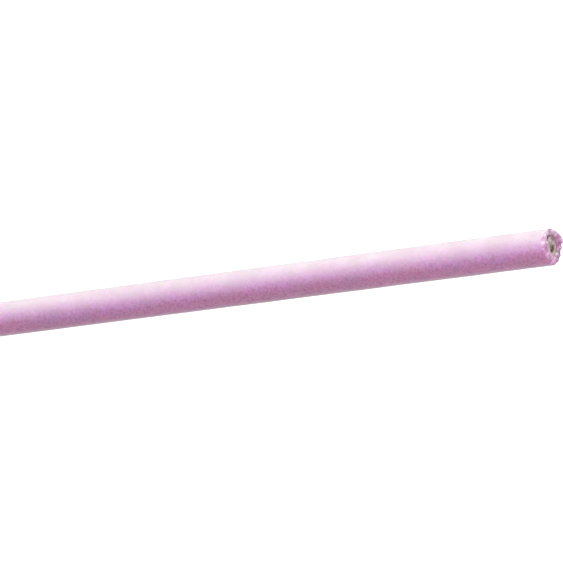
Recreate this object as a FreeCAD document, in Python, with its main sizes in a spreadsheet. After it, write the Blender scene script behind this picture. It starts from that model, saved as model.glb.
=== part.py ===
"""Flux coated brazing rod: a round filler wire inside a thick extruded sleeve of pink flux.

The rod lies along X. Its cropped working end, where the brittle flux has broken away from
the wire, is at +X, and its plain end, by which it is held, is at -X. The origin is on the
rod's axis, half way along. All sizes are millimetres and degrees, and directions round the
rod are measured from +Y towards +Z.
"""
import FreeCAD, Part
import enum
import math
import os
import Sketcher

# Driving dimensions, each with the note that stands beside it in the sheet
SIZES = {
    "rod_length": (457.2, "overall length, 18 inches"),
    "core_diameter": (3.2, "filler wire, one eighth of an inch"),
    "coating_thickness": (1.15, "mean wall of the extruded flux sleeve"),
    "core_offset": (0.26, "how far the wire lies off the middle of the coating"),
    "core_offset_angle": (20.0, "direction of that offset"),
    "rim_round": (0.3, "rubbed edge of the flux at the plain end"),
    "wire_edge_round": (0.15, "rolled-over edge of the wire at both cropped ends"),
    "wire_recess": (0.77, "wire's working face behind the break's furthest point"),
    "break_direction": (347.0, "direction in which the break stands furthest out"),
    "break_slant": (3.5, "slope of the break across the rod, below its lip"),
    "lip_height": (0.4, "how far the lip of flux left at the rim stands out"),
    "lip_width": (0.5, "how far that lip slopes inward from the rim"),
    "crumb_width": (0.36, "half width of the largest small pit in the crumbled break"),
    "crumb_depth": (0.15, "depth of the largest small pit in the crumbled break"),
}

# Places where something has broken away. Each is a shallow round dish, given by its
# direction round the rod, how far out its middle is, how far it leans from the end of the
# rod towards its side, its depth, and half the width of its mouth.
DISH_COLUMNS = ("angle", "out", "lean", "depth", "width")

# Flux gone from the rim, from the wall and from beside the wire: out is 0 at the wire and
# 1 at the rim
SPALLS = {
    "near_spall": (125.0, 1.0, 55.0, 0.43, 0.8),
    "near_corner": (103.0, 1.0, 40.0, 0.3, 0.72),
    "shoulder_spall": (150.0, 1.0, 50.0, 0.18, 0.78),
    "low_spall": (222.0, 1.0, 45.0, 0.2, 0.75),
    "under_spall": (257.0, 1.0, 50.0, 0.27, 0.85),
    "corner_spall": (282.0, 1.0, 45.0, 0.26, 0.8),
    "far_spall": (306.0, 1.0, 45.0, 0.27, 0.76),
    "top_spall": (40.0, 1.0, 40.0, 0.2, 0.5),
    "top_hollow": (71.0, 0.43, 0.0, 0.2, 0.5),
    "far_hollow": (1.0, 0.36, 0.0, 0.36, 0.45),
    "far_hollow_low": (338.0, 0.42, 0.0, 0.36, 0.42),
    "under_hollow": (290.0, 0.36, 0.0, 0.3, 0.36),
    "low_hollow": (210.0, 0.57, 0.0, 0.3, 0.42),
    "wire_gap_top": (84.0, 0.04, 0.0, 0.42, 0.26),
    "wire_gap": (98.0, 0.06, 0.0, 0.48, 0.3),
    "wire_gap_low": (113.0, 0.06, 0.0, 0.45, 0.26),
}

# Metal torn out of the wire's working face: out is 0 at the axis and 1 at the wire's side
TEARS = {
    "shear_pit_near": (-136.0, 0.33, 0.0, 0.42, 0.56),
    "shear_pit_far": (-56.0, 0.5, 0.0, 0.4, 0.56),
    "shear_pit_low": (-97.0, 0.54, 0.0, 0.42, 0.46),
    "shear_pit_top": (-115.0, 0.12, 0.0, 0.36, 0.42),
    "shear_hollow": (72.0, 0.26, 0.0, 0.09, 0.6),
    "edge_nick": (34.0, 0.7, 0.0, 0.26, 0.3),
    "rolled_edge_top": (70.0, 1.0, 45.0, 0.26, 0.42),
    "rolled_edge": (93.0, 1.0, 45.0, 0.32, 0.48),
    "rolled_edge_low": (116.0, 1.0, 45.0, 0.26, 0.42),
}

# The small pits follow one another round the break by this angle, so that none line up
CRUMB_COUNT = 13
CRUMB_STEP = 137.5
# How far out a small pit is, and its share of the largest one's size, pit after pit
CRUMB_OUT = (0.35, 0.72, 0.5, 0.86)
CRUMB_SHARE = (1.0, 0.7, 0.85)

# Expressions of the sheet that several pieces share
WIRE_RADIUS = "(Sizes.core_diameter / 2)"
ROD_RADIUS = f"({WIRE_RADIUS} + Sizes.coating_thickness)"
HALF_LENGTH = "(Sizes.rod_length / 2)"
WIRE_FACE = f"({HALF_LENGTH} - Sizes.wire_recess)"
LIP_FOOT_X = f"({HALF_LENGTH} - Sizes.lip_height)"
LIP_FOOT_Y = f"({ROD_RADIUS} - Sizes.lip_width)"
WIRE_Y = "(Sizes.core_offset * cos(Sizes.core_offset_angle))"
WIRE_Z = "(Sizes.core_offset * sin(Sizes.core_offset_angle))"

X_AXIS = FreeCAD.Vector(1, 0, 0)
Z_AXIS = FreeCAD.Vector(0, 0, 1)


class Anchor(enum.IntEnum):
    """The sketcher's numbers for its horizontal axis and for the two ends of an edge."""

    H_AXIS = -1
    START = 1
    END = 2


def make_sheet(doc):
    """Writes every driving dimension into a spreadsheet, one named cell a row."""
    sheet = doc.addObject("Spreadsheet::Sheet", "Sizes")
    rows = dict(SIZES)
    for name, values in {**SPALLS, **TEARS}.items():
        for column, value in zip(DISH_COLUMNS, values):
            rows[f"{name}_{column}"] = (value, f"{name.replace('_', ' ')}: {column}")
    for row, (name, (value, note)) in enumerate(rows.items(), start=1):
        sheet.set(f"A{row}", note)
        sheet.set(f"B{row}", str(value))
        sheet.setAlias(f"B{row}", name)
    doc.recompute()
    return sheet


def new_sketch(body, name, role):
    """An empty sketch on one of the body's own origin planes, such as XZ_Plane."""
    plane = next(f for f in body.Origin.OriginFeatures if f.Role == role)
    sketch = body.newObject("Sketcher::SketchObject", name)
    sketch.AttachmentSupport = (plane, [""])
    sketch.MapMode = "FlatFace"
    return sketch


def line(sketch, start, end):
    """Adds a straight edge between two points and returns its number."""
    edge = Part.LineSegment(FreeCAD.Vector(*start, 0), FreeCAD.Vector(*end, 0))
    return sketch.addGeometry(edge, False)


def corner(sketch, centre, radius, first_angle):
    """Adds a rounded corner, a quarter turn drawn anticlockwise, and returns its number."""
    circle = Part.Circle(FreeCAD.Vector(*centre, 0), Z_AXIS, radius)
    start = math.radians(first_angle)
    quarter = Part.ArcOfCircle(circle, start, start + math.pi / 2)
    return sketch.addGeometry(quarter, False)


def close_outline(sketch, edges, rounds=()):
    """Joins each edge's end to the next one's start, smoothly at the rounded corners."""
    for first, second in zip(edges, edges[1:] + edges[:1]):
        kind = "Tangent" if first in rounds or second in rounds else "Coincident"
        joint = Sketcher.Constraint(kind, first, Anchor.END, second, Anchor.START)
        sketch.addConstraint(joint)


def along(sketch, direction, *edges):
    """Holds straight edges Horizontal or Vertical."""
    for edge in edges:
        sketch.addConstraint(Sketcher.Constraint(direction, edge))


def drive(sketch, name, expression, *constraint):
    """Adds a dimension to a sketch and binds it to the sheet."""
    value = float(sketch.evalExpression(expression))
    index = sketch.addConstraint(Sketcher.Constraint(*constraint, value))
    sketch.renameConstraint(index, name)
    sketch.setExpression(f"Constraints.{name}", expression)


def bar_profile(body, name, radius, front, back_round, front_round=None):
    """Half section of a round bar that starts at the plain end of the rod.

    radius, front and the two edge rounds are expressions; without front_round the bar's
    working end is sharp.
    """
    sketch = new_sketch(body, name, "XZ_Plane")
    rounds = (back_round, front_round or "0")
    far, side, back, rim, edge = (
        float(sketch.evalExpression(text)) for text in (front, radius, HALF_LENGTH, *rounds)
    )
    axis = line(sketch, (-back, 0), (far, 0))
    face = line(sketch, (far, 0), (far, side - edge))
    outline = [axis, face]
    corners = []
    if front_round:
        corners.append(corner(sketch, (far - edge, side - edge), edge, 0))
        outline += corners
    flank = line(sketch, (far - edge, side), (-back + rim, side))
    corners.append(corner(sketch, (-back + rim, side - rim), rim, 90))
    plain = line(sketch, (-back, side - rim), (-back, 0))
    outline += [flank, corners[-1], plain]

    close_outline(sketch, outline, corners)
    along(sketch, "Horizontal", axis)
    along(sketch, "Vertical", face, plain)
    if not front_round:
        along(sketch, "Horizontal", flank)
    on_axis = Sketcher.Constraint("PointOnObject", axis, Anchor.START, Anchor.H_AXIS)
    sketch.addConstraint(on_axis)
    origin = (Anchor.H_AXIS, Anchor.START)
    drive(sketch, "radius", radius, "DistanceY", *origin, flank, Anchor.START)
    drive(sketch, "front", front, "DistanceX", *origin, face, Anchor.START)
    drive(sketch, "back", HALF_LENGTH, "DistanceX", plain, Anchor.END, *origin)
    drive(sketch, "back_round", back_round, "Radius", corners[-1])
    if front_round:
        drive(sketch, "front_round", front_round, "Radius", corners[0])
    return sketch


def turned_bar(doc, body_name, name, *profile):
    """A body with a bar turned from its half section about the rod's axis."""
    body = doc.addObject("PartDesign::Body", body_name)
    sketch = bar_profile(body, f"{name}_profile", *profile)
    feature = body.newObject("PartDesign::Revolution", name)
    feature.Profile = sketch
    feature.ReferenceAxis = (sketch, ["H_Axis"])
    feature.Angle = 360.0
    return body


def slanted_break(body):
    """Cuts the working end back to the break, all but a lip that stood at the rim.

    The flux snapped a little askew. The lip is at the bar's own +Y, and the bar is then
    turned about its axis to where the lip stands.
    """
    sketch = new_sketch(body, "break_outline", "XY_Plane")
    reach = f"(2 * {ROD_RADIUS})"
    beyond = f"({HALF_LENGTH} + {ROD_RADIUS})"
    over_lip_x = f"({HALF_LENGTH} + Sizes.lip_height)"
    over_lip_y = f"({ROD_RADIUS} + Sizes.lip_width)"
    lowest = f"({LIP_FOOT_X} - ({LIP_FOOT_Y} + {reach}) * tan(Sizes.break_slant))"
    side, far, tip, top, foot, inner, low = (
        float(sketch.evalExpression(text))
        for text in (reach, beyond, over_lip_x, over_lip_y, LIP_FOOT_X, LIP_FOOT_Y, lowest)
    )
    lip = line(sketch, (tip, top), (foot, inner))
    slope = line(sketch, (foot, inner), (low, -side))
    below = line(sketch, (low, -side), (far, -side))
    outside = line(sketch, (far, -side), (far, top))
    above = line(sketch, (far, top), (tip, top))
    close_outline(sketch, [lip, slope, below, outside, above])
    along(sketch, "Horizontal", below, above)
    along(sketch, "Vertical", outside)
    origin = (Anchor.H_AXIS, Anchor.START)
    drive(sketch, "over_lip_x", over_lip_x, "DistanceX", *origin, lip, Anchor.START)
    drive(sketch, "over_lip_y", over_lip_y, "DistanceY", *origin, lip, Anchor.START)
    drive(sketch, "foot_x", LIP_FOOT_X, "DistanceX", *origin, slope, Anchor.START)
    drive(sketch, "foot_y", LIP_FOOT_Y, "DistanceY", *origin, slope, Anchor.START)
    drive(sketch, "lowest", lowest, "DistanceX", *origin, slope, Anchor.END)
    drive(sketch, "reach", reach, "DistanceY", slope, Anchor.END, *origin)
    drive(sketch, "beyond", beyond, "DistanceX", *origin, outside, Anchor.START)
    pocket = body.newObject("PartDesign::Pocket", "slanted_break")
    pocket.Profile = sketch
    pocket.Type = "ThroughAll"
    pocket.Midplane = True
    turn = "create(<<rotation>>; create(<<vector>>; 1; 0; 0); Sizes.break_direction)"
    body.setExpression("Placement", f"create(<<placement>>; create(<<vector>>; 0; 0; 0); {turn})")
    return pocket


def dish(doc, name, face, radius, shift, angle, lean, depth, width):
    """A ball that scoops a dish of that depth and half width out of an end face.

    The texts are expressions. face is where the end face stands along X, radius and angle
    say where on it the middle of the dish is, and shift is the share of the wire's offset
    that this place on the face follows.
    """
    ball_radius = f"(({width}) ^ 2 + ({depth}) ^ 2) / (2 * {depth})"
    stand_off = f"({ball_radius} - {depth})"
    from_axis = f"({radius} + {stand_off} * sin({lean}))"
    ball = doc.addObject("Part::Sphere", name)
    ball.setExpression("Radius", ball_radius)
    ball.setExpression("Placement.Base.x", f"{face} + {stand_off} * cos({lean})")
    ball.setExpression(
        "Placement.Base.y", f"{from_axis} * cos({angle}) + {shift} * {WIRE_Y}"
    )
    ball.setExpression(
        "Placement.Base.z", f"{from_axis} * sin({angle}) + {shift} * {WIRE_Z}"
    )
    return ball


def flux_dish(doc, name, angle, out, lean, depth, width):
    """A dish in the slope of the break, out being the share of the wall from wire to rim."""
    radius = f"({WIRE_RADIUS} + Sizes.coating_thickness * {out})"
    from_foot = f"({LIP_FOOT_Y} - {radius} * cos({angle} - Sizes.break_direction))"
    face = f"{LIP_FOOT_X} - {from_foot} * tan(Sizes.break_slant)"
    return dish(doc, name, face, radius, f"(1 - {out})", angle, lean, depth, width)


def spalls(doc):
    """The larger pieces of flux that broke off the rim, the wall and from beside the wire."""
    for name in SPALLS:
        yield flux_dish(doc, name, *(f"Sizes.{name}_{column}" for column in DISH_COLUMNS))


def crumbs(doc):
    """The small pits of the crumbled break, spread round it."""
    for number in range(CRUMB_COUNT):
        angle = (number * CRUMB_STEP) % 360
        out = CRUMB_OUT[number % len(CRUMB_OUT)]
        share = CRUMB_SHARE[number % len(CRUMB_SHARE)]
        depth = f"(Sizes.crumb_depth * {share})"
        width = f"(Sizes.crumb_width * {share})"
        yield flux_dish(doc, f"crumb_{number + 1}", angle, out, 0, depth, width)


def tears(doc):
    """The pits that cropping tore in the wire's working face."""
    for name in TEARS:
        angle, out, *shape = (f"Sizes.{name}_{column}" for column in DISH_COLUMNS)
        yield dish(doc, name, WIRE_FACE, f"({WIRE_RADIUS} * {out})", 0, angle, *shape)


def bore(doc):
    """The round hole that the wire fills, right through the sleeve."""
    hole = doc.addObject("Part::Cylinder", "bore")
    hole.Placement.Rotation = FreeCAD.Rotation(Z_AXIS, X_AXIS)
    hole.setExpression("Radius", WIRE_RADIUS)
    hole.setExpression("Height", f"2 * ({HALF_LENGTH} + {ROD_RADIUS})")
    hole.setExpression("Placement.Base.x", f"-({HALF_LENGTH} + {ROD_RADIUS})")
    hole.setExpression("Placement.Base.y", WIRE_Y)
    hole.setExpression("Placement.Base.z", WIRE_Z)
    return hole


def take_away(doc, label, blank, tools):
    """Cuts the tools out of a blank; the finished piece carries the label."""
    bite = doc.addObject("Part::MultiFuse", f"{label}_bite")
    bite.Shapes = tools
    piece = doc.addObject("Part::Cut", label)
    piece.Label = label
    piece.Base = blank
    piece.Tool = bite
    return piece


def make_core_wire(doc):
    """The filler wire, cropped at both ends, with torn metal in its working face."""
    edge = "Sizes.wire_edge_round"
    body = turned_bar(doc, "drawn_bar", "bar", WIRE_RADIUS, WIRE_FACE, edge, edge)
    wire = take_away(doc, "core_wire", body, list(tears(doc)))
    wire.setExpression("Placement.Base.y", WIRE_Y)
    wire.setExpression("Placement.Base.z", WIRE_Z)
    return wire


def make_flux_coating(doc):
    """The flux sleeve, bonded to the wire, with its broken working end."""
    rim = "Sizes.rim_round"
    body = turned_bar(doc, "extruded_flux", "flux_bar", ROD_RADIUS, HALF_LENGTH, rim)
    slanted_break(body)
    sleeve = doc.addObject("Part::Cut", "bored_sleeve")
    sleeve.Base = body
    sleeve.Tool = bore(doc)
    return take_away(doc, "flux_coating", sleeve, [*crumbs(doc), *spalls(doc)])


def check(doc, pieces):
    """Stops if an object failed, a piece isn't a sound solid, or a cut takes nothing off."""
    for item in doc.Objects:
        if {"Invalid", "Error"} & set(item.State):
            raise SystemExit(f"{item.Name} failed: {item.State}")
    stages = [doc.getObject(name) for name in ("flux_bar", "slanted_break", "bored_sleeve")]
    for before, after in zip(stages, stages[1:]):
        if after.Shape.Volume >= before.Shape.Volume:
            raise SystemExit(f"{after.Name} takes nothing off")
    for piece in pieces:
        if piece.Shape.isNull() or not piece.Shape.isValid() or not piece.Shape.Solids:
            raise SystemExit(f"{piece.Label} is not a sound solid")
        for tool in piece.Tool.Shapes:
            if piece.Base.Shape.common(tool.Shape).Volume <= 0:
                raise SystemExit(f"{tool.Name} takes nothing off")


def main():
    """Models both pieces and writes each to its own STEP file."""
    doc = FreeCAD.newDocument("flux_coated_brazing_rod")
    make_sheet(doc)
    pieces = [make_core_wire(doc), make_flux_coating(doc)]
    doc.recompute()
    check(doc, pieces)
    os.makedirs("parts", exist_ok=True)
    for piece in pieces:
        piece.Shape.exportStep(f"parts/{piece.Label}.step")
        print(piece.Label, len(piece.Shape.Solids), "solid", piece.Shape.Volume)


main()
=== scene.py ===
"""Flux coated brazing rod, dressed: a bronze filler wire in a crumbly sleeve of pink flux.

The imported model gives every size. The sleeve and the wire are modelled here as closed meshes
that keep its form, with the fine relief of broken flux and sheared metal on top of it. Meshes
are worked out in millimetres and handed over in metres.
"""

import logging
from collections.abc import Callable, Iterable
from dataclasses import dataclass, field
from enum import Enum
from math import atan2, cos, hypot, pi, radians, sin, tan

import bmesh
import bpy
from mathutils import Matrix, Vector, noise


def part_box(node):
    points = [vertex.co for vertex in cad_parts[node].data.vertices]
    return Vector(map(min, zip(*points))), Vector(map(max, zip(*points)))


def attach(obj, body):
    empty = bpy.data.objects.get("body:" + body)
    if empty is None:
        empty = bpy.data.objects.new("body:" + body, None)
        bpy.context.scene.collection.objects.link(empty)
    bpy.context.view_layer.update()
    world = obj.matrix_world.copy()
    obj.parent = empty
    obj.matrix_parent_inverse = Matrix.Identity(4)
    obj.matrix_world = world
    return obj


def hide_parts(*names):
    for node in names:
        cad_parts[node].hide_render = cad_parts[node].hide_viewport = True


LOG = logging.getLogger("brazing_rod")
MM_PER_M = 1000.0
SAME_POINT_MM = 1e-5
NO_LENGTH_MM = 1e-6
# The colour mixing node's sockets by number, because its names stand for several sockets.
MIX_SHARE = 0
MIX_FIRST = 6
MIX_SECOND = 7
MIX_RESULT = 2
# Noise in octaves: how much rougher each is, how much finer each is, and how many.
FRACTAL = (1.0, 2.0, 3)
# Ridged noise besides: its offset and its gain.
RIDGES = (1.0, 2.0)
Colour = tuple[float, float, float]
Mesh = bmesh.types.BMesh
Socket = bpy.types.NodeSocket


class Maths(Enum):
    """The steps of arithmetic that the materials use."""

    ADD = "ADD"
    SUBTRACT = "SUBTRACT"
    MULTIPLY = "MULTIPLY"
    MAXIMUM = "MAXIMUM"


class SolidNode(Enum):
    """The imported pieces."""

    SLEEVE = "flux_coating"
    WIRE = "core_wire"


class Tint(Enum):
    """How a stretch of broken flux differs from the rest."""

    PALE = "pale"
    DEEP = "deep"
    # Painted shade: a greyer, darker stretch where the break lies in shade.
    PAINTED_SHADE = "painted_grey_shade"


class Mark(Enum):
    """What a mesh notes on its vertices for its material, each as a number from 0 up."""

    BROKEN = "broken"
    HOLLOW = "hollow"
    LUMP = "lump"
    DUSTED = "dusted"
    FLANK = "flank"


@dataclass(frozen=True)
class Steps:
    """Steps along a stretch: the first, how much longer each next one is, and the longest."""

    first: float
    growth: float
    widest: float


@dataclass(frozen=True)
class Texture:
    """Soft noise in a material: how wide its grains are, its detail and its roughness."""

    grain_mm: float
    detail: float = 2.0
    rough: float = 0.5


@dataclass(frozen=True)
class Ramp:
    """A smooth rise from 0 at low to top at high. It falls where high is the lower number."""

    low: float
    high: float
    top: float = 1.0


@dataclass(frozen=True)
class Ripple:
    """Noise on a surface: its height in millimetres, and its waves per millimetre by axis."""

    height: float
    waves: tuple[float, float, float]

    def stretched(self, point: Vector) -> Vector:
        """The place in the noise that belongs to a place on the surface."""
        return Vector([value * wave for value, wave in zip(point, self.waves)])


@dataclass(frozen=True)
class Chip:
    """A shallow round dish where something broke away, as the solid model has it.

    angle is its direction round the rod from +Y towards +Z in degrees, out is how far out
    its middle is from 0 to 1, lean is how far it tips from the rod's end towards its side in
    degrees, and depth and width are its depth and the half width of its mouth.
    """

    angle: float
    out: float
    lean: float
    depth: float
    width: float


@dataclass(frozen=True)
class Grain:
    """A pale lump left standing on the break, at a place given like a chip's."""

    angle: float
    out: float
    width: float
    height: float


@dataclass(frozen=True)
class Patch:
    """A stretch of the break in another tint, at a place given like a chip's."""

    tint: Tint
    angle: float
    out: float
    width: float
    share: float


@dataclass(frozen=True)
class Scoop:
    """The ball that makes a chip, and the way it presses into the surface."""

    centre: Vector
    radius: float
    press: Vector

    def sink(self, point: Vector) -> float:
        """How far a point inside the ball has to move to reach its far side.

        Args:
            point: a place on the surface, in millimetres.

        Returns:
            The distance along the press direction, or 0 for a point outside the ball.
        """
        offset = point - self.centre
        along = offset.dot(self.press)
        across = offset.length_squared - along * along
        if offset.length >= self.radius or across >= self.radius * self.radius:
            return 0.0
        return (self.radius * self.radius - across) ** 0.5 - along


def scoop_of(
    chip: Chip,
    inner: float,
    outer: float,
    face: Callable[[float, float], float],
    offset: Vector,
) -> Scoop:
    """Works out the ball of one chip.

    Args:
        chip: the chip.
        inner: radius at which its out value is 0.
        outer: radius at which its out value is 1.
        face: gives where the end face stands along X for a radius and an angle.
        offset: how far the place where out is 0 lies off the axis.

    Returns:
        The ball and its press direction.
    """
    around = radians(chip.angle)
    lean = radians(chip.lean)
    radius = (chip.width**2 + chip.depth**2) / (2 * chip.depth)
    stand_off = radius - chip.depth
    middle = inner + (outer - inner) * chip.out
    from_axis = middle + stand_off * sin(lean)
    centre = Vector(
        (
            face(middle, around) + stand_off * cos(lean),
            from_axis * cos(around),
            from_axis * sin(around),
        )
    )
    centre += offset * (1 - chip.out)
    press = Vector((-cos(lean), -sin(lean) * cos(around), -sin(lean) * sin(around)))
    return Scoop(centre, radius, press)


def stations(length: float, steps: Steps) -> list[float]:
    """Distances along a stretch whose steps start fine and grow.

    Args:
        length: the whole stretch.
        steps: how the steps grow.

    Returns:
        Distances from 0 up to but without the stretch's end.
    """
    places = [0.0]
    step = steps.first
    while places[-1] + step < length - step / 2:
        places.append(places[-1] + step)
        step = min(step * steps.growth, steps.widest)
    return places


def quarter_turn(count: int) -> list[float]:
    """Angles from 0 to 90 degrees in that many even steps, in radians."""
    return [radians(90.0 / count * turn) for turn in range(count + 1)]


def ease(value: float, low: float, high: float) -> float:
    """Smooth step from 0 at low to 1 at high."""
    share = min(max((value - low) / (high - low), 0.0), 1.0)
    return share * share * (3 - 2 * share)


def ease_straight(value: float, low: float, high: float) -> float:
    """Even rise from 0 at low to 1 at high."""
    return min(max((value - low) / (high - low), 0.0), 1.0)


def wire_place() -> tuple[Vector, float]:
    """How far the wire lies off the rod's axis, and the wire's radius, in millimetres."""
    low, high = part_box(SolidNode.WIRE.value)
    middle = (low + high) / 2 * MM_PER_M
    return Vector((0.0, middle.y, middle.z)), (high.z - low.z) / 2 * MM_PER_M


def turned_mesh(outline: list[tuple[float, float]], steps: int, closed: bool) -> Mesh:
    """Turns a half section once round the X axis.

    Args:
        outline: points as (place along X, distance from the axis), in millimetres.
        steps: number of faces round the rod.
        closed: whether the outline's last point joins its first one.

    Returns:
        A closed mesh with its normals outward.
    """
    mesh = bmesh.new()
    points = [mesh.verts.new((x, 0.0, away)) for x, away in outline]
    pairs = list(zip(points, points[1:]))
    if closed:
        pairs.append((points[-1], points[0]))
    edges = [mesh.edges.new(pair) for pair in pairs]
    bmesh.ops.spin(
        mesh,
        geom=points + edges,
        cent=(0.0, 0.0, 0.0),
        axis=(1.0, 0.0, 0.0),
        dvec=(0.0, 0.0, 0.0),
        angle=2 * pi,
        steps=steps,
        use_merge=True,
    )
    bmesh.ops.remove_doubles(mesh, verts=mesh.verts, dist=SAME_POINT_MM)
    bmesh.ops.recalc_face_normals(mesh, faces=mesh.faces)
    return mesh


def new_mark(mesh: Mesh, mark: Mark | Tint) -> bmesh.types.BMLayerItem:
    """Starts a mark at 0 on every vertex of a mesh."""
    return mesh.verts.layers.float.new(mark.value)


def finished_piece(name: str, mesh: Mesh, material: bpy.types.Material) -> bpy.types.Object:
    """Makes an object at the origin from a mesh worked out in millimetres.

    Args:
        name: the piece's name.
        mesh: the mesh, which is freed.
        material: its finish.

    Returns:
        The object, shaded smooth.
    """
    bmesh.ops.dissolve_degenerate(mesh, edges=mesh.edges, dist=NO_LENGTH_MM)
    bmesh.ops.recalc_face_normals(mesh, faces=mesh.faces)
    bmesh.ops.scale(mesh, vec=(1 / MM_PER_M,) * 3, verts=mesh.verts)
    for face in mesh.faces:
        face.smooth = True
    data = bpy.data.meshes.new(name)
    mesh.to_mesh(data)
    mesh.free()
    data.materials.append(material)
    piece = bpy.data.objects.new(name, data)
    bpy.context.scene.collection.objects.link(piece)
    return piece


class NodeGraph:
    """A material's node tree, filled one node at a time."""

    def __init__(self, name: str) -> None:
        """Starts an empty material of that name."""
        self.material = bpy.data.materials.new(name)
        self.material.use_nodes = True
        self.tree = self.material.node_tree
        self.tree.nodes.clear()

    def add(self, kind: str, inputs: dict | None = None, **settings: object) -> bpy.types.Node:
        """Adds a node.

        Args:
            kind: the node's type.
            inputs: a number, a colour or another node's output for each input that is set,
                by the input's name or number.
            settings: the node's own properties.

        Returns:
            The new node.
        """
        node = self.tree.nodes.new(kind)
        for name, value in settings.items():
            setattr(node, name, value)
        for name, value in (inputs or {}).items():
            slot = node.inputs[name]
            if isinstance(value, Socket):
                self.tree.links.new(value, slot)
            elif slot.type == "RGBA":
                slot.default_value = (*value, 1.0)
            else:
                slot.default_value = value
        return node

    def place(self) -> Socket:
        """Object coordinates, in metres."""
        return self.add("ShaderNodeTexCoord").outputs["Object"]

    def noise(self, place: Socket, texture: Texture) -> Socket:
        """Soft noise of that texture."""
        inputs = {
            "Vector": place,
            "Scale": MM_PER_M / texture.grain_mm,
            "Detail": texture.detail,
            "Roughness": texture.rough,
        }
        return self.add("ShaderNodeTexNoise", inputs).outputs["Fac"]

    def cells(self, place: Socket, grain_mm: float) -> Socket:
        """How far each place is from the middle of its grain, for grains of that size."""
        inputs = {"Vector": place, "Scale": MM_PER_M / grain_mm}
        return self.add("ShaderNodeTexVoronoi", inputs).outputs["Distance"]

    def stretch(self, place: Socket, scale: tuple[float, float, float]) -> Socket:
        """Coordinates scaled differently along each axis."""
        return self.add("ShaderNodeMapping", {"Vector": place, "Scale": scale}).outputs["Vector"]

    def follow(self, value: Socket, ramp: Ramp) -> Socket:
        """Where a value stands on a ramp."""
        inputs = {
            "Value": value,
            "From Min": ramp.low,
            "From Max": ramp.high,
            "To Min": 0.0,
            "To Max": ramp.top,
        }
        node = self.add("ShaderNodeMapRange", inputs, interpolation_type="SMOOTHSTEP")
        return node.outputs["Result"]

    def sum(self, operation: Maths, first: object, second: object) -> Socket:
        """One step of arithmetic."""
        node = self.add("ShaderNodeMath", {0: first, 1: second}, operation=operation.value)
        return node.outputs["Value"]

    def blend(self, share: object, first: object, second: object) -> Socket:
        """Mixes two colours: the first at share 0, the second at share 1."""
        inputs = {MIX_SHARE: share, MIX_FIRST: first, MIX_SECOND: second}
        return self.add("ShaderNodeMix", inputs, data_type="RGBA").outputs[MIX_RESULT]

    def mark(self, mark: Mark | Tint) -> Socket:
        """A number that the mesh carries at each point."""
        return self.add("ShaderNodeAttribute", attribute_name=mark.value).outputs["Fac"]

    def bump(self, height: Socket, height_mm: float, under: Socket | None = None) -> Socket:
        """Relief of that full height, on top of another relief's normal where one is given."""
        inputs = {"Height": height, "Distance": height_mm / MM_PER_M, "Strength": 1.0}
        if under is not None:
            inputs["Normal"] = under
        return self.add("ShaderNodeBump", inputs).outputs["Normal"]

    def finish(self, shader: Socket) -> bpy.types.Material:
        """Wires a shader to the surface and returns the material."""
        self.add("ShaderNodeOutputMaterial", {"Surface": shader})
        return self.material


def tint_patches(
    mesh: Mesh, places: Iterable[tuple[Patch, tuple[float, float]]], nearest: float
) -> None:
    """Notes on each vertex of a working end how far the patches of each tint reach.

    Args:
        mesh: the mesh, which gets a number on its vertices for every tint.
        places: the patches, each with where it stands across the rod, as (Y, Z).
        nearest: how far forward along X a vertex has to be.
    """
    ragged_share = 0.3
    ragged_waves = 1.7
    full_share = 0.2
    layers = {tint: new_mark(mesh, tint) for tint in Tint}
    for vertex in mesh.verts:
        if vertex.co.x < nearest:
            continue
        for patch, place in places:
            ragged = ragged_share * patch.width * noise.noise(vertex.co * ragged_waves)
            apart = hypot(vertex.co.y - place[0], vertex.co.z - place[1]) + ragged
            share = patch.share * ease(-apart, -patch.width, -full_share * patch.width)
            layer = layers[patch.tint]
            vertex[layer] = max(vertex[layer], share)


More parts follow.
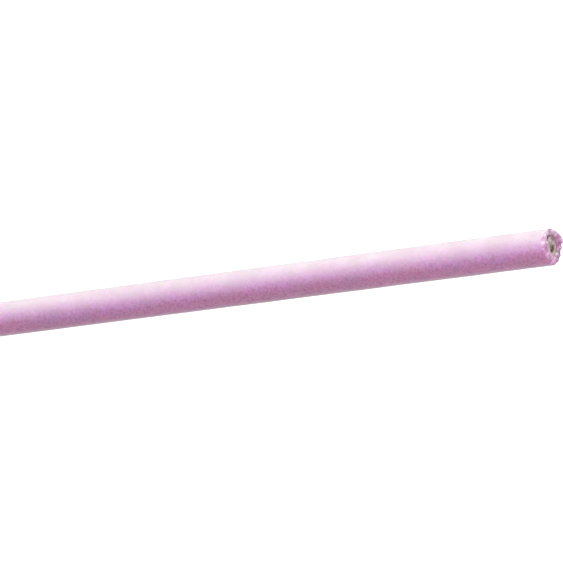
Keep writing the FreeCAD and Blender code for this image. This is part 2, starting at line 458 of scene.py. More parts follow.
@dataclass(frozen=True)
class BakedFlux:
    """Dusty pink flux: a matt mottled skin, and deeper magenta where it is freshly broken.

    height in a ramp's name means how near a place is to the upper side that the key lamp
    lights, from -1 to 1; the painted highlight, the painted reflection and the painted
    shading of the hue follow it. Sizes and reliefs are millimetres.
    """

    rose: Colour = (0.97, 0.44, 0.72)
    lilac: Colour = (0.97, 0.48, 0.95)
    deep: Colour = (0.70, 0.235, 0.545)
    fleck: Colour = (0.97, 0.78, 0.93)
    # Painted highlight: a pale whitish colour laid over the lit top of the skin.
    painted_top_highlight: Colour = (0.82, 0.87, 0.73)
    # Painted reflection: a pale line along the underside, as if lit from the white floor.
    painted_floor_reflection: Colour = (0.99, 0.70, 0.86)
    clouded: Colour = (0.55, 0.38, 0.50)
    broken: Colour = (0.66, 0.27, 0.51)
    mauve: Colour = (0.86, 0.52, 0.75)
    dusted: Colour = (0.90, 0.53, 0.74)
    pale: Colour = (0.99, 0.68, 0.93)
    deepened: Colour = (0.55, 0.16, 0.38)
    # Painted shade: greyer, darker flux round the underside of the break.
    painted_grey_shade: Colour = (0.44, 0.33, 0.43)
    # Darker magenta in the chips' hollows, by their depth: partly the broken flux's own tone,
    # partly painted shade.
    hollow_tone_and_shade: Colour = (0.44, 0.10, 0.31)
    lump: Colour = (0.87, 0.62, 0.82)

    # The direction round the rod, from +Y towards +Z, of the side that the key lamp lights.
    lit_side_angle: float = radians(72.0)
    wander: Texture = Texture(4.5, 5.0, 0.72)
    wander_rise: Ramp = Ramp(0.0, 1.0, 0.2)
    top_highlight_rise: Ramp = Ramp(-0.25, 1.15, 0.7)
    top_highlight_lost: Ramp = Ramp(0.0, 1.0, 0.65)
    floor_reflection_height: Ramp = Ramp(-0.62, -0.92, 0.75)
    clouded_rise: Ramp = Ramp(0.35, 0.65, 0.24)
    unbroken: Ramp = Ramp(1.0, 0.0)

    cloud: Texture = Texture(7.0, 1.0)
    lilac_rise: Ramp = Ramp(0.0, 0.75)
    mottle: Texture = Texture(0.45, 4.0, 0.6)
    mottle_rise: Ramp = Ramp(0.38, 0.72)
    mottle_height: Ramp = Ramp(1.2, -0.4)
    fleck_mm: float = 0.3
    fleck_edge: Ramp = Ramp(0.28, 0.12)
    fleck_groups: Texture = Texture(0.7, 1.0)
    fleck_chosen: Ramp = Ramp(0.5, 0.66, 0.7)

    break_mottle: Texture = Texture(0.5, 3.0, 0.55)
    mauve_rise: Ramp = Ramp(0.35, 0.65, 0.8)
    hollow_shade_rise: Ramp = Ramp(0.1, 0.9, 0.85)
    lump_rise: Ramp = Ramp(0.15, 0.6, 0.9)

    crumbs: Texture = Texture(0.45, 3.0, 0.65)
    crumb_relief: float = 0.05
    grit: Texture = Texture(0.13, 3.0, 0.6)
    grit_relief: float = 0.02
    pore_mm: float = 0.55
    pore_edge: Ramp = Ramp(0.06, 0.2)
    pore_relief: float = 0.03

    def material(self, radius: float) -> bpy.types.Material:
        """Builds the node material.

        Args:
            radius: the sleeve's outer radius in millimetres, which places the painted highlight.

        Returns:
            The material, which reads the mesh's broken, hollow, lump and dusted marks and
            its tints.
        """
        graph = NodeGraph("baked_flux")
        place = graph.place()
        level = self.height(graph, place, radius)
        wander = graph.noise(place, self.wander)
        height = graph.sum(Maths.ADD, level, graph.follow(wander, self.wander_rise))
        height = graph.sum(Maths.SUBTRACT, height, self.wander_rise.top / 2)
        skin = self.skin_colour(graph, place, height)
        # Painted reflection: the skin is paled along its underside as if lit from the floor
        # below.
        skin = graph.blend(graph.follow(level, self.floor_reflection_height), skin, self.painted_floor_reflection)
        exposed = graph.mark(Mark.BROKEN)
        base = graph.blend(exposed, skin, self.broken_colour(graph, place))
        # Painted highlight: the skin turns pale whitish along its lit top, less so on the break.
        painted_top_highlight = graph.follow(height, self.top_highlight_rise)
        lost = graph.follow(exposed, self.top_highlight_lost)
        painted_top_highlight = graph.sum(Maths.SUBTRACT, painted_top_highlight, graph.sum(Maths.MULTIPLY, painted_top_highlight, lost))
        base = graph.blend(painted_top_highlight, base, self.painted_top_highlight)
        clouded = graph.follow(wander, self.clouded_rise)
        clouded = graph.sum(Maths.MULTIPLY, clouded, graph.follow(exposed, self.unbroken))
        base = graph.blend(clouded, base, self.clouded)
        shader = graph.add(
            "ShaderNodeBsdfPrincipled",
            {
                "Base Color": base,
                "Roughness": 0.78,
                "Specular IOR Level": 0.4,
                "Sheen Weight": 0.45,
                "Sheen Roughness": 0.45,
                "Subsurface Weight": 0.6,
                "Subsurface Radius": (1.0, 0.25, 0.7),
                "Subsurface Scale": 1.5 / MM_PER_M,
                "Normal": self.relief(graph, place),
            },
        )
        return graph.finish(shader.outputs["BSDF"])

    def relief(self, graph: NodeGraph, place: Socket) -> Socket:
        """Crumbs, grit and pores too fine for the mesh."""
        pores = graph.follow(graph.cells(place, self.pore_mm), self.pore_edge)
        relief = graph.bump(graph.noise(place, self.crumbs), self.crumb_relief)
        relief = graph.bump(graph.noise(place, self.grit), self.grit_relief, relief)
        return graph.bump(pores, self.pore_relief, relief)

    def skin_colour(self, graph: NodeGraph, place: Socket, height: Socket) -> Socket:
        """Mottled skin with pale flecks; painted shading turns it lilac on top, rose and darker
        below.
        """
        # Painted shading in the hue: rose on the shaded underside, lilac towards the lit top,
        # with some random cloud.
        cloud = graph.sum(Maths.ADD, height, graph.noise(place, self.cloud))
        colour = graph.blend(graph.follow(cloud, self.lilac_rise), self.rose, self.lilac)
        mottle = graph.follow(graph.noise(place, self.mottle), self.mottle_rise)
        # Painted shade: the darker mottle shows mostly on the shaded underside.
        shown = graph.follow(height, self.mottle_height)
        colour = graph.blend(graph.sum(Maths.MULTIPLY, mottle, shown), colour, self.deep)
        fleck = graph.follow(graph.cells(place, self.fleck_mm), self.fleck_edge)
        chosen = graph.follow(graph.noise(place, self.fleck_groups), self.fleck_chosen)
        return graph.blend(graph.sum(Maths.MULTIPLY, fleck, chosen), colour, self.fleck)

    def height(self, graph: NodeGraph, place: Socket, radius: float) -> Socket:
        """How near a place is to the upper side that the key lamp lights, from -1 to 1."""
        axes = graph.add("ShaderNodeSeparateXYZ", {"Vector": place}).outputs
        side = graph.sum(Maths.MULTIPLY, axes["Y"], cos(self.lit_side_angle) * MM_PER_M / radius)
        rise = graph.sum(Maths.MULTIPLY, axes["Z"], sin(self.lit_side_angle) * MM_PER_M / radius)
        return graph.sum(Maths.ADD, side, rise)

    def broken_colour(self, graph: NodeGraph, place: Socket) -> Socket:
        """Magenta flux with its dusted chips, its tints, its hollows darkened partly by painted
        shade, and its pale lumps.
        """
        mottle = graph.follow(graph.noise(place, self.break_mottle), self.mauve_rise)
        colour = graph.blend(mottle, self.broken, self.mauve)
        # Partly painted shade: darker the deeper a chip's hollow goes.
        hollow = graph.follow(graph.mark(Mark.HOLLOW), self.hollow_shade_rise)
        lump = graph.follow(graph.mark(Mark.LUMP), self.lump_rise)
        for share, coat in (
            (graph.mark(Mark.DUSTED), self.dusted),
            (graph.mark(Tint.PALE), self.pale),
            (graph.mark(Tint.DEEP), self.deepened),
            (graph.mark(Tint.PAINTED_SHADE), self.painted_grey_shade),
            (hollow, self.hollow_tone_and_shade),
            (lump, self.lump),
        ):
            colour = graph.blend(share, colour, coat)
        return colour


@dataclass(frozen=True)
class ShearedBronze:
    """Dull bronze filler metal, greyish where it was sheared, its torn pits darkened with
    painted shade.

    Sizes and reliefs are millimetres.
    """

    metal: Colour = (0.38, 0.29, 0.28)
    worn: Colour = (0.76, 0.61, 0.63)
    tarnish: Colour = (0.25, 0.19, 0.15)
    # Painted shade: near black in the torn pits, darkest where they go deepest.
    painted_pit_shade: Colour = (0.14, 0.105, 0.07)
    # Painted shade: dark purple on the wire's side and rim tears, where it runs into the crevice
    # in the flux.
    painted_crevice_shade: Colour = (0.2, 0.05, 0.13)
    dulled: Colour = (0.17, 0.10, 0.12)
    bare: Colour = (0.80, 0.62, 0.62)
    # Painted shade: a darker, greyer stretch on the upper part of the wire's face.
    painted_wire_shade: Colour = (0.33, 0.25, 0.21)

    drawn: Texture = Texture(0.12, 3.0)
    drawn_stretch: tuple[float, float, float] = (0.04, 1.0, 1.0)
    drawn_relief: float = 0.006
    smear: Texture = Texture(0.1, 4.0, 0.6)
    smear_stretch: tuple[float, float, float] = (1.0, 1.0, 0.25)
    smear_relief: float = 0.03
    worn_rise: Ramp = Ramp(0.35, 0.65)
    cloud: Texture = Texture(0.7, 2.0)
    tarnish_rise: Ramp = Ramp(0.5, 0.75, 0.5)
    pit_shade_rim: Ramp = Ramp(0.0, 0.16, 0.6)
    pit_shade_rise: Ramp = Ramp(0.12, 0.3)
    roughness: float = 0.42
    roughness_rise: Ramp = Ramp(0.3, 0.7, 0.2)

    def material(self) -> bpy.types.Material:
        """Builds the node material, which reads the mesh's hollow and flank marks and tints."""
        graph = NodeGraph("sheared_bronze")
        place = graph.place()
        drawn = graph.noise(graph.stretch(place, self.drawn_stretch), self.drawn)
        smear = graph.noise(graph.stretch(place, self.smear_stretch), self.smear)
        cloud = graph.noise(place, self.cloud)
        hollow = graph.mark(Mark.HOLLOW)
        colour = graph.blend(graph.follow(smear, self.worn_rise), self.metal, self.worn)
        for share, coat in (
            (graph.follow(cloud, self.tarnish_rise), self.tarnish),
            # Painted shade: darker round the rims of the torn pits and near black in them.
            (graph.follow(hollow, self.pit_shade_rim), self.tarnish),
            (graph.follow(hollow, self.pit_shade_rise), self.painted_pit_shade),
            (graph.mark(Tint.PAINTED_SHADE), self.painted_wire_shade),
            (graph.mark(Tint.DEEP), self.dulled),
            (graph.mark(Tint.PALE), self.bare),
            # Painted shade on the wire's side and rim tears, by the crevice.
            (graph.mark(Mark.FLANK), self.painted_crevice_shade),
        ):
            colour = graph.blend(share, colour, coat)
        relief = graph.bump(drawn, self.drawn_relief)
        rough = graph.sum(Maths.ADD, self.roughness, graph.follow(smear, self.roughness_rise))
        shader = graph.add(
            "ShaderNodeBsdfPrincipled",
            {
                "Base Color": colour,
                "Metallic": 0.55,
                "Roughness": rough,
                "Normal": graph.bump(smear, self.smear_relief, relief),
            },
        )
        return graph.finish(shader.outputs["BSDF"])


@dataclass(frozen=True)
class BrokenGrit:
    """Beads and grit on broken flux. Heights are millimetres, waves are per millimetre."""

    bead_waves: float = 1.8
    bead_narrow: float = 1.9
    bead_height: float = 0.05
    grit_waves: float = 3.2
    grit_height: float = 0.025
    sunk: float = 0.04
    pale_waves: float = 0.9
    pale_shift: tuple[float, float, float] = (7.3, 1.9, 4.2)
    pale_rise: tuple[float, float] = (0.05, 0.4)
    pale_share: float = 0.3

    def at(self, point: Vector) -> tuple[float, float]:
        """How far the grit stands up at a place, and how pale a lump it is there."""
        distances, _ = noise.voronoi(point * self.bead_waves)
        bead = max(0.0, 1 - distances[0] * self.bead_narrow)
        fine = noise.fractal(point * self.grit_waves, *FRACTAL)
        chosen = noise.noise(point * self.pale_waves + Vector(self.pale_shift))
        raised = self.bead_height * bead + self.grit_height * fine - self.sunk
        return raised, self.pale_share * bead * ease(chosen, *self.pale_rise)


@dataclass
class FluxSleeve:
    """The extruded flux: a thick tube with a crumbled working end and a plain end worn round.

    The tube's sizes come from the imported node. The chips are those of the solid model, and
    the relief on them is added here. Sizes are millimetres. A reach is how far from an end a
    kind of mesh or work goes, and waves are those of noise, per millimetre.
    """

    steps: int = 192
    break_direction: float = radians(347.0)
    break_slant: float = radians(3.5)
    lip_height: float = 0.4
    lip_width: float = 0.5
    rim_round: float = 0.3
    rim_steps: int = 6
    face_rings: int = 16
    plain_rings: int = 7
    gap_depth: float = 1.4
    gap_steps: Steps = Steps(0.1, 1.1, 0.3)
    break_reach: float = 3.4
    break_steps: Steps = Steps(0.09, 1.0, 0.09)
    side_steps: Steps = Steps(0.1, 1.06, 0.45)
    seen_reach: float = 105.0
    tail_reach: float = 3.0
    far_steps: Steps = Steps(0.45, 1.05, 6.0)
    least_step: float = 0.2
    worked_reach: float = 4.0
    swell: Ripple = Ripple(0.02, (0.16, 0.5, 0.5))
    drag: Ripple = Ripple(0.014, (1.3, 1.9, 1.9))
    skin_sunk: float = 0.012
    skin_depth: float = 0.1
    face_slack: float = 0.02
    chip_ragged: float = 0.05
    chip_waves: float = 2.4
    dust_depth: float = 0.15
    finish: BakedFlux = field(default_factory=BakedFlux)
    grit: BrokenGrit = field(default_factory=BrokenGrit)
    chips: tuple[Chip, ...] = (
        Chip(125.0, 1.0, 55.0, 0.43, 0.8),
        Chip(103.0, 1.0, 40.0, 0.3, 0.72),
        Chip(150.0, 1.0, 50.0, 0.18, 0.78),
        Chip(222.0, 1.0, 45.0, 0.2, 0.75),
        Chip(257.0, 1.0, 50.0, 0.27, 0.85),
        Chip(282.0, 1.0, 45.0, 0.26, 0.8),
        Chip(306.0, 1.0, 45.0, 0.27, 0.76),
        Chip(40.0, 1.0, 40.0, 0.2, 0.5),
        Chip(71.0, 0.43, 0.0, 0.2, 0.5),
        Chip(1.0, 0.36, 0.0, 0.36, 0.45),
        Chip(338.0, 0.42, 0.0, 0.36, 0.42),
        Chip(290.0, 0.36, 0.0, 0.3, 0.36),
        Chip(210.0, 0.57, 0.0, 0.3, 0.42),
        Chip(84.0, 0.04, 0.0, 0.42, 0.26),
        Chip(98.0, 0.06, 0.0, 0.48, 0.3),
        Chip(113.0, 0.06, 0.0, 0.45, 0.26),
    )
    grains: tuple[Grain, ...] = (
        Grain(276.0, 0.1, 0.42, 0.14),
        Grain(243.0, 0.3, 0.42, 0.12),
        Grain(226.0, 0.66, 0.36, 0.1),
        Grain(181.0, 0.5, 0.5, 0.12),
        Grain(39.0, 0.62, 0.42, 0.1),
        Grain(91.0, 0.62, 0.26, 0.12),
        Grain(107.0, 0.9, 0.3, 0.12),
        Grain(133.0, 0.8, 0.3, 0.1),
        Grain(133.0, 0.3, 0.26, 0.14),
        Grain(350.0, 0.85, 0.3, 0.08),
        Grain(318.0, 0.3, 0.3, 0.12),
    )
    patches: tuple[Patch, ...] = (
        Patch(Tint.PALE, 18.0, 0.65, 0.6, 0.85),
        Patch(Tint.PALE, 42.0, 0.9, 0.8, 0.75),
        Patch(Tint.PALE, 80.0, 0.9, 0.6, 0.5),
        Patch(Tint.PALE, 102.0, 0.55, 0.55, 1.0),
        Patch(Tint.PALE, 181.0, 0.5, 0.6, 1.0),
        Patch(Tint.PALE, 212.0, 0.15, 0.6, 0.7),
        Patch(Tint.PALE, 347.0, 0.85, 0.45, 1.0),
        Patch(Tint.DEEP, 62.0, 0.15, 0.5, 0.6),
        Patch(Tint.DEEP, 202.0, 0.8, 0.6, 1.0),
        Patch(Tint.DEEP, 326.0, 0.35, 0.8, 0.85),
        Patch(Tint.PALE, 240.0, 0.45, 0.45, 0.7),
        # Painted shade: greyer, darker stretches round the underside of the break.
        Patch(Tint.PAINTED_SHADE, 262.0, 0.35, 0.6, 0.7),
        Patch(Tint.PAINTED_SHADE, 286.0, 0.35, 1.0, 1.0),
        Patch(Tint.PAINTED_SHADE, 304.0, 0.25, 0.7, 0.9),
    )
    crumb_count: int = 13
    crumb_step: float = 137.5
    crumb_depth: float = 0.15
    crumb_width: float = 0.36
    crumb_out: tuple[float, ...] = (0.35, 0.72, 0.5, 0.86)
    crumb_share: tuple[float, ...] = (1.0, 0.7, 0.85)

    def __post_init__(self) -> None:
        """Takes the tube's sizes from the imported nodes."""
        low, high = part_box(SolidNode.SLEEVE.value)
        self.back = low.x * MM_PER_M
        self.front = high.x * MM_PER_M
        self.outer = high.z * MM_PER_M
        self.offset, self.inner = wire_place()

    def build(self) -> bpy.types.Object:
        """Models the sleeve, dresses it and lets it stand for the solid."""
        mesh = turned_mesh(self.outline(), self.steps, closed=True)
        self.shift_bore(mesh)
        self.slant(mesh)
        self.roughen_skin(mesh)
        self.chip_away(mesh)
        places = [(patch, self.grain_place(patch)) for patch in self.patches]
        tint_patches(mesh, places, self.front - self.worked_reach)
        self.crumble(mesh)
        piece = finished_piece("flux_sleeve", mesh, self.finish.material(self.outer))
        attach(piece, "root")
        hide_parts(SolidNode.SLEEVE.value)
        return piece

    def outline(self) -> list[tuple[float, float]]:
        """Half section: bore, working end, side with its steps, plain end."""
        wall = self.outer - self.inner
        points = [(self.back, self.inner)]
        bore = stations(self.gap_depth, self.gap_steps)
        points += [(self.front - depth, self.inner) for depth in reversed(bore[1:])]
        points += [
            (self.front, self.inner + wall * ring / self.face_rings)
            for ring in range(self.face_rings + 1)
        ]
        fine = stations(self.break_reach, self.break_steps)
        places = [self.front - step for step in fine[1:]]
        rest = places[-1] - (self.back + self.rim_round)
        places += [places[-1] - step for step in stations(rest, self.side_steps)[1:]]
        points += [(place, self.outer) for place in self.thinned(places)]
        corner = (self.back + self.rim_round, self.outer - self.rim_round)
        points += [
            (corner[0] - self.rim_round * sin(turn), corner[1] + self.rim_round * cos(turn))
            for turn in quarter_turn(self.rim_steps)
        ]
        span = corner[1] - self.inner
        points += [
            (self.back, corner[1] - span * ring / self.plain_rings)
            for ring in range(1, self.plain_rings)
        ]
        return points

    def thinned(self, places: list[float]) -> list[float]:
        """Leaves out stations along the stretch that the break is far away from."""
        near = self.front - self.seen_reach
        tail = self.back + self.tail_reach
        kept = [place for place in places if place > near]
        step = self.far_steps.first
        while kept[-1] - step > tail:
            kept.append(kept[-1] - step)
            step = min(step * self.far_steps.growth, self.far_steps.widest)
        last = min(tail, kept[-1] - self.least_step)
        return kept + [place for place in places if place <= last]

    def break_at(self, across: float, with_lip: bool) -> float:
        """Where the break stands along X.

        Args:
            across: how far a place is from the axis towards the side that stands out.
            with_lip: whether the lip at the rim counts, or the slope below it alone.

        Returns:
            The break's place, in millimetres.
        """
        from_foot = across - (self.outer - self.lip_width)
        rise = tan(self.break_slant)
        if with_lip and from_foot > 0:
            rise = self.lip_height / self.lip_width
        return self.front - self.lip_height + from_foot * rise

    def face_at(self, away: float, around: float) -> float:
        """Where the slope of the break stands along X, below its lip."""
        return self.break_at(away * cos(around - self.break_direction), with_lip=False)

    def slant(self, mesh: Mesh) -> None:
        """Brings the working end back to the break, which snapped a little askew."""
        towards = (cos(self.break_direction), sin(self.break_direction))
        for vertex in mesh.verts:
            share = ease_straight(vertex.co.x, self.front - self.break_reach, self.front)
            across = vertex.co.y * towards[0] + vertex.co.z * towards[1]
            vertex.co.x -= share * (self.front - self.break_at(across, with_lip=True))

    def roughen_skin(self, mesh: Mesh) -> None:
        """Gives the extruded side its slight lumps and drag marks."""
        for vertex in mesh.verts:
            away = hypot(vertex.co.y, vertex.co.z)
            if away < self.outer - self.rim_round:
                continue
            rise = sum(
                ripple.height * noise.noise(ripple.stretched(vertex.co))
                for ripple in (self.swell, self.drag)
            )
            factor = 1 + (rise - self.skin_sunk) / away
            vertex.co.y *= factor
            vertex.co.z *= factor

    def shift_bore(self, mesh: Mesh) -> None:
        """Moves the bore to the wire's place, a little off the middle of the flux."""
        for vertex in mesh.verts:
            away = hypot(vertex.co.y, vertex.co.z)
            vertex.co += self.offset * (1 - ease_straight(away, self.inner, self.outer))

    def all_chips(self) -> Iterable[Chip]:
        """The larger chips, then the small pits that the golden angle spreads."""
        yield from self.chips
        for number in range(self.crumb_count):
            share = self.crumb_share[number % len(self.crumb_share)]
            yield Chip(
                angle=(number * self.crumb_step) % 360,
                out=self.crumb_out[number % len(self.crumb_out)],
                lean=0.0,
                depth=self.crumb_depth * share,
                width=self.crumb_width * share,
            )

    def chip_away(self, mesh: Mesh) -> None:
        """Presses every chip into the working end and notes how deep each point went."""
        hollow = new_mark(mesh, Mark.HOLLOW)
        broken = new_mark(mesh, Mark.BROKEN)
        dusted = new_mark(mesh, Mark.DUSTED)
        scoops = [
            (chip, scoop_of(chip, self.inner, self.outer, self.face_at, self.offset))
            for chip in self.all_chips()
        ]
        nearest = self.front - self.worked_reach
        for vertex in mesh.verts:
            if vertex.co.x <= nearest:
                continue
            away = hypot(vertex.co.y, vertex.co.z)
            face = self.face_at(away, atan2(vertex.co.z, vertex.co.y)) - self.face_slack
            if vertex.co.x > face or away < self.outer - self.skin_depth:
                vertex[broken] = 1.0
            for chip, scoop in scoops:
                ragged = 1 + self.chip_ragged * noise.noise(vertex.co * self.chip_waves)
                sink = scoop.sink(scoop.centre + (vertex.co - scoop.centre) * ragged)
                if sink > 0:
                    vertex.co += scoop.press * sink
                    vertex[broken] = 1.0
                    if chip.out >= 1:
                        vertex[dusted] = max(vertex[dusted], ease(sink, 0.0, self.dust_depth))
                    elif chip in self.chips:
                        vertex[hollow] += sink

    def crumble(self, mesh: Mesh) -> None:
        """Raises grains and lumps on every broken surface and crumbles its edge."""
        lump_core = 0.15
        lump = new_mark(mesh, Mark.LUMP)
        broken = mesh.verts.layers.float[Mark.BROKEN.value]
        mesh.normal_update()
        places = [(grain, self.grain_place(grain)) for grain in self.grains]
        moves = []
        for vertex in mesh.verts:
            if vertex[broken] <= 0:
                continue
            raised, vertex[lump] = self.grit.at(vertex.co)
            for grain, place in places:
                apart = hypot(vertex.co.y - place[0], vertex.co.z - place[1])
                swell = ease(-apart, -grain.width, -lump_core * grain.width)
                raised += grain.height * swell
                vertex[lump] = max(vertex[lump], swell)
            moves.append((vertex, vertex.normal * raised))
        for vertex, move in moves:
            vertex.co += move

    def grain_place(self, grain: Grain | Patch) -> tuple[float, float]:
        """Where a grain or a patch stands across the rod, as (Y, Z)."""
        away = self.inner + (self.outer - self.inner) * grain.out
        around = radians(grain.angle)
        share = 1 - grain.out
        return (
            away * cos(around) + self.offset.y * share,
            away * sin(around) + self.offset.z * share,
        )


@dataclass
class FillerWire:
    """The bronze wire: a long bar whose working face was sheared and torn.

    Sizes are millimetres. worked_reach is how far from the working face the tints go, and
    waves are those of noise, per millimetre.
    """

    steps: int = 128
    edge_round: float = 0.15
    edge_steps: int = 5
    face_rings: int = 30
    plain_rings: int = 12
    side_steps: Steps = Steps(0.12, 1.25, 20.0)
    worked_reach: float = 1.0
    flank_start: float = 0.3
    crop_sunk: float = 0.02
    crop_ridges: Ripple = Ripple(0.018, (1.0, 2.2, 0.9))
    tear_ragged: float = 0.22
    tear_waves: float = 2.6
    crevice_shade_depth: tuple[float, float] = (0.02, 0.12)
    finish: ShearedBronze = field(default_factory=ShearedBronze)
    tears: tuple[Chip, ...] = (
        Chip(-136.0, 0.33, 0.0, 0.42, 0.56),
        Chip(-56.0, 0.5, 0.0, 0.4, 0.56),
        Chip(-97.0, 0.54, 0.0, 0.42, 0.46),
        Chip(-115.0, 0.12, 0.0, 0.36, 0.42),
        Chip(72.0, 0.26, 0.0, 0.09, 0.6),
        Chip(34.0, 0.7, 0.0, 0.26, 0.3),
        Chip(70.0, 1.0, 45.0, 0.26, 0.42),
        Chip(93.0, 1.0, 45.0, 0.32, 0.48),
        Chip(116.0, 1.0, 45.0, 0.26, 0.42),
    )
    patches: tuple[Patch, ...] = (
        Patch(Tint.DEEP, 25.0, 0.74, 0.55, 0.55),
        # Painted shade on the upper part of the wire's face.
        Patch(Tint.PAINTED_SHADE, 80.0, 0.1, 0.7, 0.5),
        Patch(Tint.PALE, 245.0, 0.31, 0.26, 0.7),
        Patch(Tint.PALE, 350.0, 0.8, 0.5, 0.3),
        Patch(Tint.PALE, 60.0, 0.45, 0.3, 0.5),
        Patch(Tint.PALE, 245.0, 0.95, 0.45, 0.6),
    )

    def __post_init__(self) -> None:
        """Takes the wire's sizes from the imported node."""
        low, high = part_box(SolidNode.WIRE.value)
        self.back = low.x * MM_PER_M
        self.front = high.x * MM_PER_M
        self.offset, self.radius = wire_place()

    def build(self) -> bpy.types.Object:
        """Models the wire, dresses it and lets it stand for the solid."""
        mesh = turned_mesh(self.outline(), self.steps, closed=False)
        places = [(patch, self.place_of(patch)) for patch in self.patches]
        tint_patches(mesh, places, self.front - self.worked_reach)
        self.tear(mesh)
        bmesh.ops.translate(mesh, vec=self.offset, verts=mesh.verts)
        piece = finished_piece("filler_wire", mesh, self.finish.material())
        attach(piece, "root")
        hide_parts(SolidNode.WIRE.value)
        return piece

    def outline(self) -> list[tuple[float, float]]:
        """Half section from the middle of the working face to the middle of the plain end."""
        edge = self.edge_round
        flat = self.radius - edge
        points = [(self.front, flat * ring / self.face_rings) for ring in range(self.face_rings)]
        quarter = quarter_turn(self.edge_steps)
        points += [
            (self.front - edge + edge * cos(turn), flat + edge * sin(turn)) for turn in quarter
        ]
        length = self.front - self.back - 2 * edge
        places = stations(length / 2, self.side_steps)
        points += [(self.front - edge - place, self.radius) for place in places[1:]]
        points += [(self.back + edge + place, self.radius) for place in reversed(places[1:])]
        points += [
            (self.back + edge - edge * sin(turn), flat + edge * cos(turn)) for turn in quarter
        ]
        points += [
            (self.back, flat * (1 - ring / self.plain_rings))
            for ring in range(1, self.plain_rings + 1)
        ]
        return points

    def place_of(self, patch: Patch) -> tuple[float, float]:
        """Where a patch stands on the working face, as (Y, Z) from the wire's axis."""
        away = self.radius * patch.out
        around = radians(patch.angle)
        return (away * cos(around), away * sin(around))

    def tear(self, mesh: Mesh) -> None:
        """Presses the torn pits into the working face and roughens both cropped faces."""
        hollow = new_mark(mesh, Mark.HOLLOW)
        flank = new_mark(mesh, Mark.FLANK)
        scoops = [
            scoop_of(chip, 0.0, self.radius, lambda away, around: self.front, Vector())
            for chip in self.tears
        ]
        for vertex in mesh.verts:
            point = vertex.co.copy()
            behind = self.front - point.x
            # Painted shade: the wire's side, from just behind its face's rounding, gets the dark
            # crevice colour.
            vertex[flank] = ease(behind, self.flank_start * self.edge_round, self.edge_round)
            at_front = point.x > self.front - self.edge_round
            at_back = point.x < self.back + self.edge_round
            if not (at_front or at_back):
                continue
            inward = -1.0 if at_front else 1.0
            stretched = self.crop_ridges.stretched(point)
            ridges = noise.ridged_multi_fractal(stretched, *FRACTAL, *RIDGES)
            vertex.co.x += inward * (self.crop_sunk + self.crop_ridges.height * ridges)
            if not at_front:
                continue
            ragged = 1 - self.tear_ragged * noise.fractal(point * self.tear_waves, *FRACTAL)
            for chip, scoop in zip(self.tears, scoops):
                sink = scoop.sink(scoop.centre + (vertex.co - scoop.centre) * ragged)
                if sink > 0:
                    vertex.co += scoop.press * sink
                    if chip.out < 1:
                        vertex[hollow] += sink
                    else:
                        # Painted shade on the torn rim, which lies in the crevice.
                        vertex[flank] = max(vertex[flank], ease(sink, *self.crevice_shade_depth))


@dataclass(frozen=True)
class Lamp:
    """A soft square lamp that looks at the working end."""

    name: str
    towards: Vector
    distance: float
    side: float
    power: float
    colour: Colour = (1.0, 1.0, 1.0)

    def light(self, target: Vector) -> None:
        """Puts the lamp out along its direction from the target, facing it."""
        data = bpy.data.lights.new(self.name, "AREA")
        data.shape = "SQUARE"
        data.size = self.side
        data.energy = self.power
        data.color = self.colour
        lamp = bpy.data.objects.new(self.name, data)
        lamp.location = target + self.towards.normalized() * self.distance
        lamp.rotation_euler = self.towards.to_track_quat("Z", "Y").to_euler()
        bpy.context.scene.collection.objects.link(lamp)


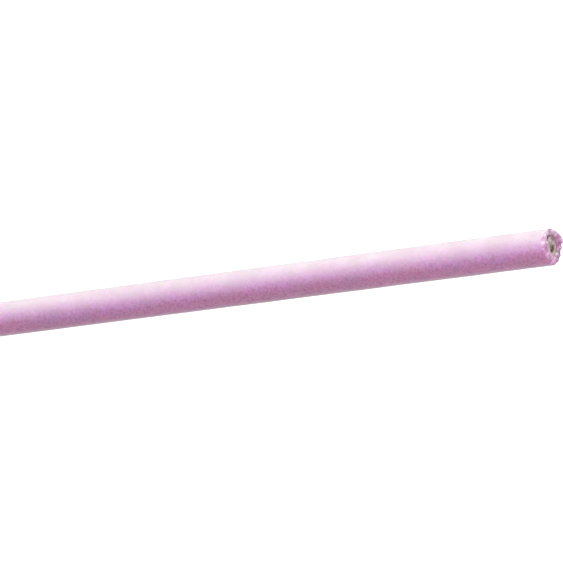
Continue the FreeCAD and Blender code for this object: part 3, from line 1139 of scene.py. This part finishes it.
@dataclass
class Studio:
    """A white floor, plain soft light and the camera of the photograph."""

    floor_size: float = 6.0
    floor_drop: float = 0.035
    floor_colour: Colour = (0.42, 0.42, 0.42)
    floor_seen: Colour = (0.5, 0.5, 0.5)
    floor_glow: float = 0.75
    world_strength: float = 0.3
    lamps: tuple[Lamp, ...] = (
        Lamp("key_softbox", Vector((0.2, 0.22, 0.95)), 1.0, 0.7, 10.0),
        Lamp("front_fill", Vector((0.75, -0.6, 0.35)), 1.4, 1.0, 4.45),
    )
    frame_px: float = 563.0
    end_px: tuple[float, float] = (556.3, 246.3)
    end_height_px: float = 37.2
    azimuth: float = 28.0
    elevation: float = 28.0
    roll: float = 21.5
    distance: float = 0.54
    sensor_mm: float = 36.0
    nearest_seen: float = 0.01

    def build(self, end: Vector, diameter: float, lowest: float) -> None:
        """Sets up everything that isn't the rod.

        Args:
            end: the middle of the working end, in metres.
            diameter: the rod's outside diameter, in metres.
            lowest: the height of the rod's lowest side, in metres.
        """
        bpy.context.scene.view_settings.view_transform = "Standard"
        self.lay_floor(end, lowest - self.floor_drop)
        self.light_world()
        for lamp in self.lamps:
            lamp.light(end)
        self.place_camera(end, diameter)

    def lay_floor(self, end: Vector, floor_z: float) -> None:
        """A plain floor that the camera sees as white with the rod's soft shadow on it."""
        mesh = bmesh.new()
        bmesh.ops.create_grid(mesh, x_segments=1, y_segments=1, size=self.floor_size / 2)
        bmesh.ops.translate(mesh, vec=(end.x, 0.0, floor_z), verts=mesh.verts)
        data = bpy.data.meshes.new("floor")
        mesh.to_mesh(data)
        mesh.free()
        data.materials.append(self.floor_material())
        floor = bpy.data.objects.new("floor", data)
        bpy.context.scene.collection.objects.link(floor)

    def floor_material(self) -> bpy.types.Material:
        """Grey to the light that it bounces, white to the camera and to mirror-like metal."""
        graph = NodeGraph("white_floor")
        plain = graph.add("ShaderNodeBsdfDiffuse", {"Color": self.floor_colour})
        pale = graph.add("ShaderNodeBsdfDiffuse", {"Color": self.floor_seen})
        glow = graph.add("ShaderNodeEmission", {"Strength": self.floor_glow})
        seen = graph.add(
            "ShaderNodeAddShader", {0: pale.outputs["BSDF"], 1: glow.outputs["Emission"]}
        )
        rays = graph.add("ShaderNodeLightPath").outputs
        direct = graph.sum(Maths.MAXIMUM, rays["Is Camera Ray"], rays["Is Glossy Ray"])
        mix = graph.add(
            "ShaderNodeMixShader",
            {"Fac": direct, 1: plain.outputs["BSDF"], 2: seen.outputs["Shader"]},
        )
        return graph.finish(mix.outputs["Shader"])

    def light_world(self) -> None:
        """Even pale surroundings, white where the camera sees them."""
        world = bpy.data.worlds.new("surroundings")
        world.use_nodes = True
        nodes = world.node_tree.nodes
        links = world.node_tree.links
        background = nodes["Background"]
        background.inputs["Color"].default_value = (1.0, 1.0, 1.0, 1.0)
        rays = nodes.new("ShaderNodeLightPath").outputs
        direct = nodes.new("ShaderNodeMath")
        direct.operation = "MAXIMUM"
        links.new(rays["Is Camera Ray"], direct.inputs[0])
        links.new(rays["Is Glossy Ray"], direct.inputs[1])
        strength = nodes.new("ShaderNodeMapRange")
        strength.inputs["To Min"].default_value = self.world_strength
        strength.inputs["To Max"].default_value = 1.0
        links.new(direct.outputs["Value"], strength.inputs["Value"])
        links.new(strength.outputs["Result"], background.inputs["Strength"])
        bpy.context.scene.world = world

    def place_camera(self, end: Vector, diameter: float) -> None:
        """Puts the working end at its place in the photograph, at its size and angle."""
        azimuth = radians(self.azimuth)
        elevation = radians(self.elevation)
        back = Vector(
            (
                sin(azimuth) * cos(elevation),
                -cos(azimuth) * cos(elevation),
                sin(elevation),
            )
        )
        right = Vector((cos(azimuth), sin(azimuth), 0.0))
        up = back.cross(right)
        rolled = Matrix((right, up, back)).transposed() @ Matrix.Rotation(
            -radians(self.roll), 3, "Z"
        )
        focal_px = self.end_height_px * self.distance / diameter
        half = self.frame_px / 2
        ray = Vector((self.end_px[0] - half, half - self.end_px[1], -focal_px))
        aim = ray.rotation_difference(Vector((0.0, 0.0, -1.0))).to_matrix()

        data = bpy.data.cameras.new("photo_camera")
        data.sensor_width = self.sensor_mm
        data.lens = focal_px / self.frame_px * self.sensor_mm
        data.clip_start = self.nearest_seen
        camera = bpy.data.objects.new("photo_camera", data)
        turn = (rolled @ aim).to_4x4()
        camera.matrix_world = Matrix.Translation(end + back * self.distance) @ turn
        bpy.context.scene.collection.objects.link(camera)
        bpy.context.scene.camera = camera


def plain(bounds: Iterable[Iterable[float]]) -> list[list[float]]:
    """A box's two corners as plain lists of numbers."""
    return [[float(value) for value in corner] for corner in bounds]


def main() -> None:
    """Builds the rod and its studio."""
    logging.basicConfig(level=logging.INFO, format="%(message)s")
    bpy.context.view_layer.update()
    sleeve = FluxSleeve()
    wire = FillerWire()
    end = Vector((sleeve.front, 0.0, 0.0)) / MM_PER_M
    studio = Studio()
    studio.build(end, 2 * sleeve.outer / MM_PER_M, -sleeve.outer / MM_PER_M)
    for maker in (sleeve, wire):
        piece = maker.build()
        faces = sum(len(polygon.vertices) - 2 for polygon in piece.data.polygons)
        LOG.info("%s: %d triangles", piece.name, faces)


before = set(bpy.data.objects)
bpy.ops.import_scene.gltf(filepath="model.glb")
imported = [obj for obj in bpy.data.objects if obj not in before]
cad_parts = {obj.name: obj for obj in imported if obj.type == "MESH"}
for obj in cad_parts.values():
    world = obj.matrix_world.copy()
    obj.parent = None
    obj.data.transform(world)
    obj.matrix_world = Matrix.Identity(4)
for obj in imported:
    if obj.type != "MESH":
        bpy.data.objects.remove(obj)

if __name__ == "__main__":
    main()
